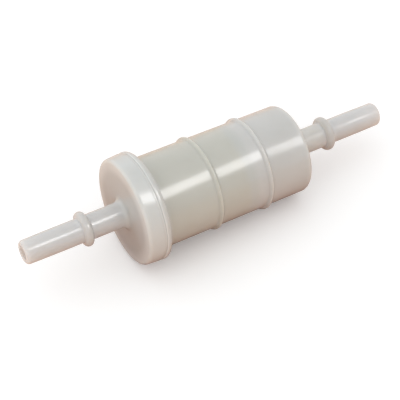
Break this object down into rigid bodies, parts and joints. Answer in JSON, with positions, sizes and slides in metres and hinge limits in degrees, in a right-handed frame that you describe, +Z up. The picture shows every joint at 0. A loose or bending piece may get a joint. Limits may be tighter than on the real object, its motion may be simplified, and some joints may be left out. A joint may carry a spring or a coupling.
{
  "type": "fuel filter",
  "caption": "Sealed in-line fuel filter: translucent welded shell with a quick-connect spigot at each end and a pleated paper element inside.",
  "frame": {"origin": "on the filter's axis, midway between the end cap's front face and the canister's end face, which is also the middle of the overall box", "axes": "+X along the axis from the end cap (outlet) to the canister's closed end (inlet), +Z up"},
  "size_m": [0.1296, 0.0358, 0.0358],
  "materials": {
    "shell": "smooth milky translucent nylon",
    "weld": "fused nylon, slightly rough",
    "paper": "resin-treated pleated filter paper",
    "clip": "crimped plated steel strip",
    "core": "moulded nylon",
    "disc": "moulded nylon",
    "potting": "cured resin",
    "seal": "fuel-proof rubber"
  },
  "bodies": {
    "root": {"end_cap": "shell", "canister": "shell", "weld_seam": "weld", "filter_media": "paper", "media_seam_clip": "clip", "support_core": "core", "open_end_disc": "disc", "closed_end_disc": "disc", "open_end_potting": "potting", "closed_end_potting": "potting", "element_seal": "seal"}
  },
  "joints": []
}
